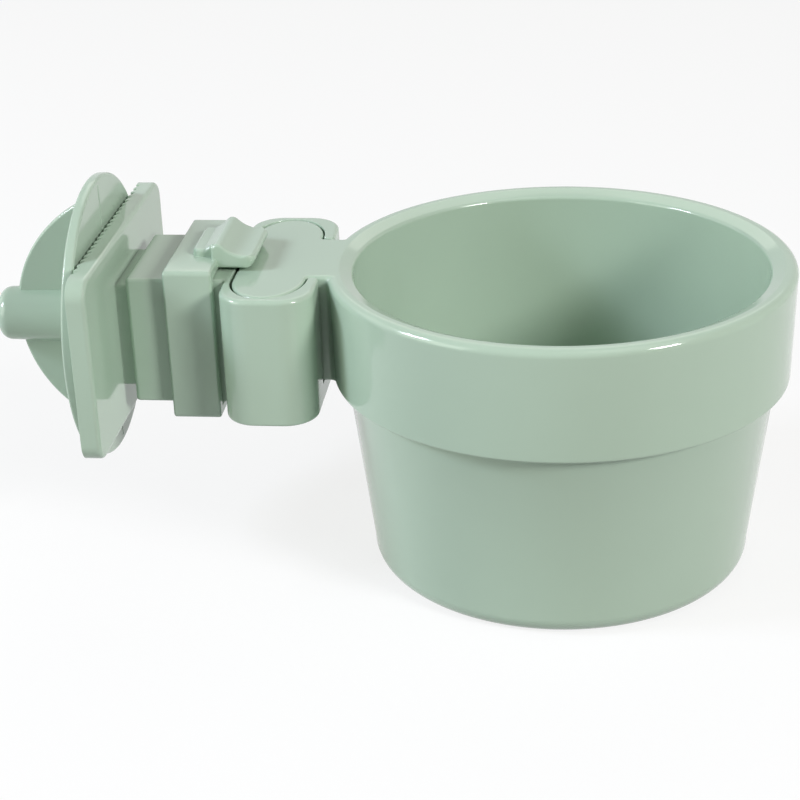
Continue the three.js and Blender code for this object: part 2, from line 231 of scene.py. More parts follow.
def along_x(loops, places):
    """Rows of a skin from section loops (Y, Z), each at its place on X."""
    loops = np.asarray(loops)
    x = np.broadcast_to(np.asarray(places, float)[:, None, None], loops.shape[:2] + (1,))
    return np.concatenate([x, loops], -1)


def join(made, tool, operation):
    """Adds the tool's solid to a piece or cuts it away, and removes the tool."""
    step = made.modifiers.new(operation, "BOOLEAN")
    step.operation, step.object, step.solver = operation, tool, "EXACT"
    result = bpy.data.meshes.new_from_object(made.evaluated_get(bpy.context.evaluated_depsgraph_get()))
    made.modifiers.clear()
    old, made.data = made.data, result
    result.name = made.name
    bpy.data.meshes.remove(old)
    bpy.data.objects.remove(tool)
    soften(made)


square = ring(4, 2 * SPIGOT_HOLE_HALF, SHANK_MIDDLE)
hole, seat = ring(0, 2 * BOLT_HOLE), ring(6, BOLT_SEAT_FLATS)
core = piece("core", skin(along_x(
    [square, square, hole, hole, seat, seat],
    [SHANK_START - CUT_PAST, SPIGOT_HOLE_END, SPIGOT_HOLE_END, BOLT_SEAT, BOLT_SEAT, POCKET_BACK + CUT_PAST],
)))
join(receiver, core, "DIFFERENCE")


def moulded_finish():
    """Shader group for a moulded surface: a slow drift of shade where the melt flowed, the fine peel of a
    polished mould, and a roughness that wanders in specks."""
    group = bpy.data.node_groups.new("moulded_finish", "ShaderNodeTree")
    for way, sockets in (
        ("INPUT", (("Colour", "Color"), ("Drift", "Float"), ("Roughness", "Float"), ("Peel", "Float"))),
        ("OUTPUT", (("Colour", "Color"), ("Roughness", "Float"), ("Normal", "Vector"))),
    ):
        for name, kind in sockets:
            group.interface.new_socket(name, in_out=way, socket_type="NodeSocket" + kind)
    nodes, links = group.nodes, group.links
    given, out = nodes.new("NodeGroupInput"), nodes.new("NodeGroupOutput")
    place = nodes.new("ShaderNodeTexCoord")
    noises = {}
    for name, scale, detail in (("flow", 28, 3), ("peel", 900, 2), ("speck", 260, 4)):
        noise = noises[name] = nodes.new("ShaderNodeTexNoise")
        noise.inputs["Scale"].default_value, noise.inputs["Detail"].default_value = scale, detail
        links.new(place.outputs["Object"], noise.inputs["Vector"])
    shade = nodes.new("ShaderNodeMapRange")
    shade.inputs["From Min"].default_value, shade.inputs["From Max"].default_value = 0.3, 0.7
    links.new(noises["flow"].outputs["Fac"], shade.inputs["Value"])
    for operation, limit in (("SUBTRACT", "To Min"), ("ADD", "To Max")):
        drift = nodes.new("ShaderNodeMath")
        drift.operation, drift.inputs[0].default_value = operation, 1
        links.new(given.outputs["Drift"], drift.inputs[1])
        links.new(drift.outputs[0], shade.inputs[limit])
    tint = nodes.new("ShaderNodeVectorMath")
    tint.operation = "SCALE"
    links.new(given.outputs["Colour"], tint.inputs[0])
    links.new(shade.outputs["Result"], tint.inputs["Scale"])
    links.new(tint.outputs["Vector"], out.inputs["Colour"])
    wander = nodes.new("ShaderNodeMapRange")
    wander.inputs["From Min"].default_value, wander.inputs["From Max"].default_value = 0.25, 0.75
    wander.inputs["To Min"].default_value, wander.inputs["To Max"].default_value = 0.8, 1.25
    links.new(noises["speck"].outputs["Fac"], wander.inputs["Value"])
    rough = nodes.new("ShaderNodeMath")
    rough.operation = "MULTIPLY"
    links.new(given.outputs["Roughness"], rough.inputs[0])
    links.new(wander.outputs["Result"], rough.inputs[1])
    links.new(rough.outputs[0], out.inputs["Roughness"])
    bump = nodes.new("ShaderNodeBump")
    bump.inputs["Distance"].default_value = 0.00002
    links.new(given.outputs["Peel"], bump.inputs["Strength"])
    links.new(noises["peel"].outputs["Fac"], bump.inputs["Height"])
    links.new(bump.outputs["Normal"], out.inputs["Normal"])
    return group


FINISH = moulded_finish()


def sage_plastic(name, roughness):
    """The bowl's plastic: a glossy dielectric in sage green, with the moulded finish on top."""
    made = bpy.data.materials.new(name)
    made.use_nodes = True
    nodes, links = made.node_tree.nodes, made.node_tree.links
    shader = nodes["Principled BSDF"]
    shader.inputs["IOR"].default_value = 1.5
    finish = nodes.new("ShaderNodeGroup")
    finish.node_tree = FINISH
    for socket, value in (("Colour", (*SAGE, 1)), ("Drift", 0.02), ("Roughness", roughness), ("Peel", 0.3)):
        finish.inputs[socket].default_value = value
    for given, taken in (("Colour", "Base Color"), ("Roughness", "Roughness"), ("Normal", "Normal")):
        links.new(finish.outputs[given], shader.inputs[taken])
    return made


def finish_piece(made, material, body, node):
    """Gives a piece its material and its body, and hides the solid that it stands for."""
    made.data.materials.clear()
    made.data.materials.append(material)
    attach(made, body)
    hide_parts(node)


finish_piece(receiver, sage_plastic("receiver_green", roughness=0.11), "bracket", "receiver")

# Lock collar: a square sleeve that slides on the shank, moulded in the same green plastic. The thumb latch
# on its top rises from a pad to a crest, dips for the thumb and ends in a lip that stands over the tongue.
# The latch's corners are (X, Z, radius) seen from the side.
COLLAR_START, COLLAR_END, COLLAR_HALF, COLLAR_CORNER, COLLAR_EDGE = 16.0, 26.5, 17.0, 1.0, 0.55
BORE_HALF, BORE_CORNER, BORE_EDGE = SHANK_HALF + SLIDE_GAP, 0.3, 0.25
PAD_HALF, PAD_EDGE, THUMB_HALF, THUMB_EDGE, PLAN_ROUND = 7.5, 0.75, 9.3, 0.6, 2.0
LATCH_FOOT, PAD_BACK, PAD_RISE, PAD_FRONT, PAD_TOP = 14.55, 20.35, 23.4, 27.2, 18.1
THUMB_BACK, THUMB_DIP, THUMB_TIP = 25.2, 30.5, 34.6
PAD_CORNERS = [
    (PAD_BACK, LATCH_FOOT, 0.9), (PAD_FRONT, LATCH_FOOT, 0.9), (PAD_FRONT, 18.6, 0.9),
    (26.2, 19.85, 0.9), (PAD_RISE, PAD_TOP, 0.9), (20.75, PAD_TOP, 0.9),
]
THUMB_CORNERS = [
    (THUMB_BACK, LATCH_FOOT, 0.9), (33.65, LATCH_FOOT, 0.9), (THUMB_TIP, 16.1, 0.9), (THUMB_TIP, 17.52, 0.95),
    (THUMB_DIP, 17.0, 6.4), (26.75, 20.35, 1.5), (THUMB_BACK, 19.1, 0.75),
]
LATCH_STEPS, PLAN_ROWS, FINE_MARGIN = 10, 10, 0.1
SQUARE = np.array([(-1, -1), (1, -1), (1, 1), (-1, 1)])


def square_path(half, corner, steps=8):
    """A square of that half width with rounded corners, about the shank's middle line."""
    return rounded_path(SQUARE * half + (0, SHANK_MIDDLE), corner, steps)


sleeve = swept(square_path(COLLAR_HALF, COLLAR_CORNER),
               edge_rows(COLLAR_START, COLLAR_END, COLLAR_EDGE, COLLAR_EDGE), LENGTHWAYS)
bore_rows = np.array([(-BORE_EDGE, COLLAR_END), (0, COLLAR_END - BORE_EDGE),
                      (0, COLLAR_START + BORE_EDGE), (-BORE_EDGE, COLLAR_START)])
bore = swept(square_path(BORE_HALF, BORE_CORNER), bore_rows, LENGTHWAYS)
lock_collar = piece("lock_collar_sleeve", skin(np.concatenate([sleeve, bore]), round_rows=True))
for corners, half, edge, end, inland in (
    (THUMB_CORNERS, THUMB_HALF, THUMB_EDGE, THUMB_TIP, THUMB_DIP),
    (PAD_CORNERS, PAD_HALF, PAD_EDGE, PAD_BACK, PAD_RISE),
):
    latch_path = rounded_path([c[:2] for c in corners], [c[2] for c in corners], LATCH_STEPS)
    latch_rows = edge_rows(-half, half, edge, edge, FINE_MARGIN)
    plan_places = np.linspace(half - PLAN_ROUND, half - edge - EDGE_MARGIN, PLAN_ROWS)
    plan_rows = np.stack([np.zeros(PLAN_ROWS), plan_places], -1)
    near_rows, far_rows = np.split(latch_rows, 2)
    latch_rows = np.concatenate([near_rows, plan_rows[::-1] * (1, -1), plan_rows, far_rows])
    latch = swept(latch_path, latch_rows, CROSSWAYS)
    # Seen from above, the free end is drawn in on a quarter circle at each side, and not at all inland
    near_end = np.clip((np.abs(latch[..., 1]) - half) / PLAN_ROUND + 1, 0, 1)
    taken = PLAN_ROUND * (1 - np.sqrt(1 - near_end ** 2))
    latch[..., 0] -= taken * np.sign(end - inland) * np.clip((latch[..., 0] - inland) / (end - inland), 0, 1)
    join(lock_collar, piece("latch", skin(latch)), "UNION")
finish_piece(lock_collar, sage_plastic("collar_green", roughness=0.13), "lock", "lock_collar")

# Clamp bolt: a bright steel set screw with a six-sided head that the receiver keeps from turning. Its thread
# is rolled, one millimetre a turn, and it carries the wing nut.
BOLT_RADIUS, BOLT_END, BOLT_CHAMFER = 3.0, -19.0, 0.75
HEAD_START, HEAD_THICKNESS, HEAD_FLATS, HEAD_CHAMFER = BOLT_SEAT + SEAT_GAP, 4.0, 10.0, 0.35
THREAD_PITCH, THREAD_DEPTH, THREAD_END = 1.0, 0.5, 10.0
THREAD_SLOPE, THREAD_FLAT, ROWS_PER_MM = 1.6, 0.3, 10
STEEL, MARK_SHADE = (0.56, 0.57, 0.59), 0.8


def thread_groove(place, angle):
    """The share of the thread's depth that is cut at each place and angle: a triangle wave of one pitch along
    X that moves on with the angle, cut off flat at its crest and its root."""
    wave = (place[:, None] / THREAD_PITCH + angle / (2 * np.pi)) % 1
    return np.clip(THREAD_SLOPE * np.abs(2 * wave - 1) - THREAD_FLAT, 0, 1)


# The thread fades out over its last turn, and the bolt's end is chamfered
bolt_angle = np.arange(ROUND_FACETS) * 2 * np.pi / ROUND_FACETS
bolt_place = np.linspace(BOLT_END, THREAD_END, 1 + int((THREAD_END - BOLT_END) * ROWS_PER_MM))
fade = np.clip((THREAD_END - bolt_place) / THREAD_PITCH, 0, 1)[:, None]
lead = np.clip((bolt_place - BOLT_END) / BOLT_CHAMFER, 0, 1)[:, None]
bolt_reach = np.minimum(BOLT_RADIUS - THREAD_DEPTH * thread_groove(bolt_place, bolt_angle) * fade,
                        BOLT_RADIUS - BOLT_CHAMFER * (1 - lead))
thread = np.stack([
    np.broadcast_to(bolt_place[:, None], bolt_reach.shape),
    bolt_reach * np.cos(bolt_angle), bolt_reach * np.sin(bolt_angle),
], -1)
head_end = HEAD_START + HEAD_THICKNESS
head = along_x(
    [ring(0, 2 * BOLT_RADIUS), ring(6, HEAD_FLATS), ring(6, HEAD_FLATS), ring(0, HEAD_FLATS - HEAD_CHAMFER)],
    [HEAD_START, HEAD_START, head_end - HEAD_CHAMFER, head_end],
)
clamp_bolt = piece("clamp_bolt_steel", skin(np.concatenate([thread, head])))


def turned_metal(name, colour, roughness):
    """Bare metal with fine turning marks round the bolt's axis: noise that is drawn out round the axis moves
    the roughness and the shade."""
    made = bpy.data.materials.new(name)
    made.use_nodes = True
    nodes, links = made.node_tree.nodes, made.node_tree.links
    shader = nodes["Principled BSDF"]
    shader.inputs["Metallic"].default_value = 1
    place = nodes.new("ShaderNodeTexCoord")
    marks = nodes.new("ShaderNodeTexNoise")
    marks.inputs["Scale"].default_value, marks.inputs["Detail"].default_value = 900, 3
    stretch = nodes.new("ShaderNodeMapping")
    stretch.inputs["Scale"].default_value = (6, 0.4, 0.4)
    links.new(place.outputs["Object"], stretch.inputs["Vector"])
    links.new(stretch.outputs["Vector"], marks.inputs["Vector"])
    rough = nodes.new("ShaderNodeMapRange")
    for limit, share in (("To Min", 0.6), ("To Max", 1.4)):
        rough.inputs[limit].default_value = roughness * share
    links.new(marks.outputs["Fac"], rough.inputs["Value"])
    links.new(rough.outputs["Result"], shader.inputs["Roughness"])
    shade = nodes.new("ShaderNodeMix")
    shade.data_type = "RGBA"
    shade.inputs["A"].default_value = (*(MARK_SHADE * c for c in colour), 1)
    shade.inputs["B"].default_value = (*colour, 1)
    links.new(marks.outputs["Fac"], shade.inputs["Factor"])
    links.new(shade.outputs["Result"], shader.inputs["Base Color"])
    return made


finish_piece(clamp_bolt, turned_metal("bolt_steel_turned", STEEL, roughness=0.3), "bracket", "clamp_bolt")

# Clamp plate: a wide plate of the green plastic with upright saw teeth that bite on the cage wires. The
# square spigot behind it fits into the shank, so that it can't turn when the nut is done up.
PLATE_HALF_WIDTH, PLATE_HALF_HEIGHT, PLATE_THICKNESS, PLATE_CORNER = 34.9, 20.4, 4.2, 4.4
PLATE_EDGE, PLATE_TOOTH_EDGE = 0.9, 0.12
SPIGOT_HALF, SPIGOT_END = SPIGOT_HOLE_HALF - SLIDE_GAP, SPIGOT_HOLE_END - SEAT_GAP
SPIGOT_CORNER, SPIGOT_LEAD = 0.8, 0.4
TOOTH_PITCH, TOOTH_DEPTH, TOOTH_COUNT, TOOTH_TIP, TOOTH_CUT = 2.8, 1.1, 21, 0.12, 0.05

quarter_steps = ROUND_FACETS // 4 - 1
plate_corners = SQUARE * (PLATE_HALF_WIDTH, PLATE_HALF_HEIGHT)
plate_wall = swept(rounded_path(plate_corners, PLATE_CORNER, quarter_steps),
                   edge_rows(0, PLATE_THICKNESS, PLATE_TOOTH_EDGE, PLATE_EDGE), LENGTHWAYS)
spigot_rows = np.array([
    (0, PLATE_THICKNESS), (0, PLATE_THICKNESS + EDGE_MARGIN),
    (0, SPIGOT_END - SPIGOT_LEAD), (SPIGOT_LEAD, SPIGOT_END),
])
spigot = swept(square_path(SPIGOT_HALF, SPIGOT_CORNER, quarter_steps), spigot_rows, LENGTHWAYS)
bolt_ring = np.roll(ring(0, 2 * BOLT_HOLE), ROUND_FACETS // 2, axis=0)
hole_wall = along_x([bolt_ring, bolt_ring], [SPIGOT_END, 0])
plate_rows = np.concatenate([plate_wall, spigot, hole_wall])
clamp_plate = piece("clamp_plate_moulding", skin(plate_rows, round_rows=True))
# One saw cuts all the teeth: each cut falls slowly from one tip and rises steeply to the next
first_tooth = -TOOTH_COUNT * TOOTH_PITCH / 2
tips = first_tooth + TOOTH_PITCH * np.arange(TOOTH_COUNT)
saw = np.stack([
    np.stack([tips + TOOTH_TIP, tips + TOOTH_PITCH - TOOTH_TIP / 2, tips + TOOTH_PITCH], -1),
    np.broadcast_to((-TOOTH_CUT, TOOTH_DEPTH, -TOOTH_CUT), (TOOTH_COUNT, 3)),
], -1).reshape(-1, 2)
saw_back = [(first_tooth + TOOTH_COUNT * TOOTH_PITCH, -CUT_PAST), (first_tooth, -CUT_PAST)]
saw_path = np.concatenate([saw, saw_back])[:, ::-1]
saw_ends = np.array([-1, 1]) * (PLATE_HALF_HEIGHT + CUT_PAST)
saw_rows = np.concatenate([
    np.broadcast_to(saw_path, (2,) + saw_path.shape),
    np.broadcast_to(saw_ends[:, None, None], (2, len(saw_path), 1)),
], -1)
join(clamp_plate, piece("saw", skin(saw_rows)), "DIFFERENCE")
finish_piece(clamp_plate, sage_plastic("plate_green", roughness=0.1), "bracket", "clamp_plate")

# Thread insert: a knurled brass bush pressed into the nut's boss, which runs on the bolt's thread. Only its
# end shows, when the nut is backed off.
INSERT_RADIUS, INSERT_FACE, INSERT_END, INSERT_THREAD = 4.5, -1.15, -13.15, 0.25
KNURL_DEPTH, KNURL_WAVES, KNURL_BANDS, BAND_SLOPE = 0.18, 24, 2.5, 6
INSERT_FACETS, INSERT_ROWS = 96, 61
BRASS = (0.68, 0.50, 0.22)

# The knurl lies in bands along the bush, with plain necks between them
insert_angle = np.arange(INSERT_FACETS) * 2 * np.pi / INSERT_FACETS
insert_place = np.linspace(INSERT_END, INSERT_FACE, INSERT_ROWS)
insert_share = (insert_place - INSERT_END) / (INSERT_FACE - INSERT_END)
knurled = np.clip(BAND_SLOPE * np.abs(np.sin(KNURL_BANDS * np.pi * insert_share)) - 1, 0, 1)[:, None]
knurl = INSERT_RADIUS - KNURL_DEPTH * (1 - knurled * np.abs(np.cos(KNURL_WAVES * insert_angle)))
insert_bore = BOLT_HOLE + INSERT_THREAD * thread_groove(insert_place[::-1], insert_angle)
insert_reach = np.concatenate([knurl, insert_bore])
insert_x = np.broadcast_to(np.concatenate([insert_place, insert_place[::-1]])[:, None], insert_reach.shape)
thread_insert = piece("thread_insert_brass", skin(np.stack(
    [insert_x, insert_reach * np.cos(insert_angle), insert_reach * np.sin(insert_angle)], -1,
), round_rows=True))
finish_piece(thread_insert, turned_metal("insert_brass_turned", BRASS, roughness=0.28), "nut_thread",
             "thread_insert")

# Wing nut: clamp disc, half-round grip fin and closed boss, one moulding of the green plastic. A faint line
# up the disc's face shows where the thick root of the fin behind it shrank as it cooled.
DISC_RADIUS, DISC_FACE, DISC_BACK, DISC_EDGE = 31.4, -0.65, -3.05, 0.6
BOSS_RADIUS, BOSS_END, BOSS_END_ROUND, BOSS_ROOT_ROUND, BOSS_DRAFT = 6.0, -25.6, 2.6, 1.0, 0.4
NUT_BORE_END, SEAT_RADIUS, SEAT_END, ON_AXIS, NUT_FACETS = -22.0, 4.8, -13.45, 0.01, 144
FIN_HALF_HEIGHT, FIN_REACH, FIN_HALF_THICKNESS, FIN_EDGE = 27.1, 18.45, 1.3, 0.6
FIN_ROOT, FIN_INNER, FIN_STEPS, FIN_TRIM = -1.8, 5.3, 40, 3
LINE_HALF, LINE_RISE, LINE_ROOT, LINE_START, LINE_END = 0.22, 0.1, 0.5, 6.5, 30.0
LINE_ROUND, LINE_EDGE, LINE_MARGIN = 0.12, 0.05, 0.02


def turned(profile):
    """Rows of a surface of revolution about the bolt's axis from (radius, place) points: the radius times the
    cosine and the sine of an even angle."""
    angle = np.arange(NUT_FACETS) * 2 * np.pi / NUT_FACETS
    across, upward = profile[:, :1] * np.cos(angle), profile[:, :1] * np.sin(angle)
    return np.stack([np.broadcast_to(profile[:, 1:], across.shape), across, upward], -1)


def arc(centre_a, centre_b, radius, start, end, steps=8):
    """Points of a profile on an arc between two angles in degrees: the centre plus the radius times the
    cosine and the sine of each angle on the way."""
    angle = np.radians(np.linspace(start, end, steps + 1))
    return np.stack([centre_a + radius * np.cos(angle), centre_b + radius * np.sin(angle)], -1)


disc_flat, boss_root = DISC_RADIUS - DISC_EDGE, BOSS_RADIUS + BOSS_DRAFT + BOSS_ROOT_ROUND
nut_profile = np.concatenate([
    [(ON_AXIS, NUT_BORE_END), (BOLT_HOLE, NUT_BORE_END), (BOLT_HOLE, SEAT_END), (SEAT_RADIUS, SEAT_END),
     (SEAT_RADIUS, DISC_FACE - EDGE_MARGIN), (SEAT_RADIUS + EDGE_MARGIN, DISC_FACE),
     (disc_flat - EDGE_MARGIN, DISC_FACE)],
    arc(disc_flat, DISC_FACE - DISC_EDGE, DISC_EDGE, 90, 0),
    arc(disc_flat, DISC_BACK + DISC_EDGE, DISC_EDGE, 0, -90),
    [(disc_flat - EDGE_MARGIN, DISC_BACK), (boss_root + EDGE_MARGIN, DISC_BACK)],
    arc(boss_root, DISC_BACK - BOSS_ROOT_ROUND, BOSS_ROOT_ROUND, 90, 180),
    [(BOSS_RADIUS, BOSS_END + BOSS_END_ROUND + EDGE_MARGIN)],
    arc(BOSS_RADIUS - BOSS_END_ROUND, BOSS_END + BOSS_END_ROUND, BOSS_END_ROUND, 0, -90),
    [(ON_AXIS, BOSS_END)],
])
wing_nut = piece("wing_nut_moulding", skin(turned(nut_profile)))
fin_radius = (FIN_HALF_HEIGHT ** 2 + FIN_REACH ** 2) / (2 * FIN_REACH)
fin_centre = DISC_BACK - FIN_REACH + fin_radius
fin_start = np.degrees(np.arccos((fin_centre - FIN_ROOT) / fin_radius))
fin_stop = np.degrees(np.arcsin(FIN_INNER / fin_radius))
fin_edge = arc(fin_centre, 0, fin_radius, 180 - fin_start, 180 - fin_stop, FIN_STEPS)
fin_path = np.concatenate([
    fin_edge[:1], fin_edge[FIN_TRIM:-FIN_TRIM], fin_edge[-1:], [(FIN_ROOT, FIN_INNER)],
])
fin_rows = edge_rows(-FIN_HALF_THICKNESS, FIN_HALF_THICKNESS, FIN_EDGE, FIN_EDGE, FINE_MARGIN)
for side in (1, -1):
    fin = piece("fin", skin(swept((fin_path * (1, side))[::side], fin_rows, CROSSWAYS)))
    join(wing_nut, fin, "UNION")
line_back, line_front = DISC_FACE - LINE_ROOT, DISC_FACE + LINE_RISE
line_corners = [
    (line_back, -LINE_HALF), (line_front, -LINE_HALF), (line_front, LINE_HALF), (line_back, LINE_HALF),
]
line_path = rounded_path(line_corners, LINE_ROUND, steps=4)
for side in (1, -1):
    line_rows = edge_rows(*sorted((side * LINE_START, side * LINE_END)), LINE_EDGE, LINE_EDGE, LINE_MARGIN)
    join(wing_nut, piece("line", skin(swept(line_path, line_rows, PLAN))), "UNION")
finish_piece(wing_nut, sage_plastic("nut_green", roughness=0.11), "nut", "wing_nut")

# Bowl: a flower-pot shaped crock with a deep rim band, whose rounded rim falls a little towards the inside.
# It is moulded in one piece with the T-shaped tongue that drops into the socket. Its edges are rounded all
# over, and the gate mark is on the underside.
RIM_RADIUS, RIM_ROUND, RIM_INNER, RIM_INNER_ROUND = 50.35, 1.7, 44.65, 0.95
RIM_CREST, CREST_ROUND, RIM_DROP, RIM_SLOPE = 47.9, 1.5, 0.9, 23
BAND_HEIGHT, BAND_DRAFT, BAND_FOOT_ROUND, BAND_STEPS = 24.4, 0.6, 0.6, 8
CUP_TOP, CUP_TOP_ROUND, CUP_FOOT, CUP_FOOT_ROUND, CUP_WALL = 46.95, 0.5, 41.65, 4.0, 2.9
BOWL_HEIGHT, BOWL_FLOOR, INSIDE_FOOT_ROUND = 68.7, 3.0, 7.0
GATE_RADIUS, GATE_DEPTH, GATE_STUB, GATE_STUB_SLOPE, GATE_STUB_SET = 5.0, 0.4, 1.4, 0.3, 0.1
TONGUE_START, TONGUE_END = POCKET_BACK + SLIDE_GAP, POCKET_FRONT - SLIDE_GAP
TONGUE_STRAIGHT, TONGUE_RISE = POCKET_STRAIGHT, POCKET_RISE - SLIDE_GAP
TONGUE_FOOT, TONGUE_EDGE, TONGUE_SET = 0.2, 0.7, 0.15
NECK_HALF, NECK_REACH, NECK_INNER_ROUND, NECK_OUTER_ROUND = SLOT_HALF - SLIDE_GAP, 3.0, 0.6, 0.8
BOWL_X = TONGUE_END + NECK_REACH + RIM_RADIUS
RIM_POINTS, NECK_POINTS, TONGUE_POINTS, FILLET_STEPS = 181, 34, 49, 6

# The outline from above: round the rim, then the neck and the tongue's head
neck_turn = np.arcsin((NECK_HALF + NECK_OUTER_ROUND) / (RIM_RADIUS + NECK_OUTER_ROUND))
rim_turn = np.linspace(-np.pi + neck_turn, np.pi - neck_turn, RIM_POINTS)
rim_path = RIM_RADIUS * np.stack([np.cos(rim_turn), np.sin(rim_turn)], -1) + (BOWL_X, 0)
neck_x = BOWL_X - (RIM_RADIUS + NECK_OUTER_ROUND) * np.cos(neck_turn)
neck_fillet = arc(neck_x, NECK_HALF + NECK_OUTER_ROUND, NECK_OUTER_ROUND, -np.degrees(neck_turn), -90,
                  FILLET_STEPS)[1:]
inner_fillet = arc(TONGUE_END + NECK_INNER_ROUND, NECK_HALF + NECK_INNER_ROUND, NECK_INNER_ROUND, -90, -180,
                   FILLET_STEPS)
tongue_turn = np.linspace(0, np.pi, TONGUE_POINTS)
tongue_end = np.stack([
    (TONGUE_START + TONGUE_END) / 2 + (TONGUE_END - TONGUE_START) / 2 * np.cos(tongue_turn),
    TONGUE_STRAIGHT + TONGUE_RISE * np.sin(tongue_turn),
], -1)
tongue_half = np.concatenate([neck_fillet, inner_fillet, tongue_end, [(TONGUE_START, 0)]])
tongue_path = np.concatenate([tongue_half, (tongue_half[::-1] * (1, -1))[1:]])
bowl_path = np.concatenate([rim_path, tongue_path])

# The band's wall, which blends along the neck's fillet from the rim's edges to the tongue's
blend = np.clip(np.arange(len(tongue_half)) / len(neck_fillet), 0, 1)
blend = np.concatenate([np.zeros(RIM_POINTS), blend, blend[::-1][1:]])
band_foot = TOP - BAND_HEIGHT + TONGUE_FOOT * blend
band_edge = RIM_ROUND + (TONGUE_EDGE - RIM_ROUND) * blend
band_rows = edge_rows(band_foot, TOP, BAND_FOOT_ROUND, band_edge, steps=BAND_STEPS)
band_rows[:, 0] += BAND_DRAFT * (TOP - band_rows[:, 1]) / BAND_HEIGHT * (1 - blend) + TONGUE_SET * blend
band = swept(bowl_path, band_rows, PLAN)

# The rings that the band and the turned cup share, with the arc across the tongue's neck
neck_arc = np.linspace(np.pi - neck_turn, np.pi + neck_turn, NECK_POINTS)[1:-1]
bowl_turn = np.concatenate([rim_turn, neck_arc])


def bowl_rows(profile, shared):
    """Rows of the cup from (radius, depth below the rim) points, at the rim's own angles about its axis. The
    first row takes the band's own points round the rim."""
    reach = profile[:, :1]
    rows = np.stack([
        BOWL_X + reach * np.cos(bowl_turn), reach * np.sin(bowl_turn),
        np.broadcast_to(TOP - profile[:, 1:], (len(profile), len(bowl_turn))),
    ], -1)
    rows[0, :RIM_POINTS] = shared[:RIM_POINTS]
    return rows


# The cup's profiles. Beside each round lies a short lead of the straight face that it joins, on the taper
LEAD, LEAD_LEAN = 0.4, 0.01
FLOOR_LEAD, FLOOR_LEAD_SHARE = 0.5, 0.9
STEP_LEAD, STEP_LEAN = 0.3, 0.11
taper = np.arctan2(CUP_TOP - CUP_FOOT, BOWL_HEIGHT - BAND_HEIGHT)
round_reach = np.tan((np.pi / 2 - taper) / 2)
rim_reach = RIM_RADIUS - RIM_ROUND - EDGE_MARGIN
rim_wall = RIM_DROP + RIM_INNER_ROUND
floor_depth = BOWL_HEIGHT - BOWL_FLOOR
floor_radius = CUP_FOOT - CUP_WALL + BOWL_FLOOR * np.tan(taper)
floor_centre = floor_radius - INSIDE_FOOT_ROUND * round_reach
floor_lead = INSIDE_FOOT_ROUND + FLOOR_LEAD
inside = np.concatenate([
    [(rim_reach, 0)],
    arc(RIM_CREST, CREST_ROUND, CREST_ROUND, -90, -90 - RIM_SLOPE, steps=4),
    arc(RIM_INNER + RIM_INNER_ROUND, rim_wall, RIM_INNER_ROUND, -90 - RIM_SLOPE, -180, steps=10),
    [(RIM_INNER - LEAD_LEAN, rim_wall + LEAD), (CUP_TOP - CUP_WALL, BAND_HEIGHT)],
    [(floor_radius + floor_lead * np.tan(taper) * FLOOR_LEAD_SHARE, floor_depth - floor_lead)],
    arc(floor_centre, floor_depth - INSIDE_FOOT_ROUND, INSIDE_FOOT_ROUND, -np.degrees(taper), 90, steps=12),
    [(floor_centre - FLOOR_LEAD, floor_depth), (ON_AXIS, floor_depth)],
])
foot_reach = RIM_RADIUS - BAND_DRAFT - BAND_FOOT_ROUND - EDGE_MARGIN
foot_centre = CUP_FOOT - CUP_FOOT_ROUND * round_reach
step_depth = BAND_HEIGHT + CUP_TOP_ROUND
gate_depth, stub_depth = BOWL_HEIGHT - GATE_DEPTH, BOWL_HEIGHT - GATE_STUB_SET
outside = np.concatenate([
    [(foot_reach, BAND_HEIGHT), (CUP_TOP + CUP_TOP_ROUND, BAND_HEIGHT)],
    arc(CUP_TOP + CUP_TOP_ROUND, step_depth, CUP_TOP_ROUND, -90, -180, steps=4),
    [(CUP_TOP - STEP_LEAN, step_depth + STEP_LEAD)],
    arc(foot_centre, BOWL_HEIGHT - CUP_FOOT_ROUND, CUP_FOOT_ROUND, -np.degrees(taper), 90, steps=10),
    [(foot_centre - LEAD, BOWL_HEIGHT), (GATE_RADIUS, BOWL_HEIGHT), (GATE_RADIUS - GATE_DEPTH, gate_depth),
     (GATE_STUB, gate_depth), (GATE_STUB - GATE_STUB_SLOPE, stub_depth), (ON_AXIS, stub_depth)],
])


def tongue_face(row, radius, depth):
    """The flat face over the tongue, or under it: its part of one row of the band, closed by the arc of that
    radius across the neck."""
    across = np.stack([
        BOWL_X + radius * np.cos(neck_arc[::-1]), radius * np.sin(neck_arc[::-1]),
        np.full(len(neck_arc), TOP - depth),
    ], -1)
    outline = np.concatenate([band[row, RIM_POINTS - 1:], band[row, :1], across])
    return outline, [list(range(len(outline)))]


bowl = piece(
    "bowl_moulding", skin(band, caps=False),
    walls_and_lid(bowl_rows(inside, band[-1]), -1), walls_and_lid(bowl_rows(outside, band[0]), -1),
    tongue_face(-1, rim_reach, 0), tongue_face(0, foot_reach, BAND_HEIGHT),
)
finish_piece(bowl, sage_plastic("bowl_green", roughness=0.09), "bracket", "bowl")

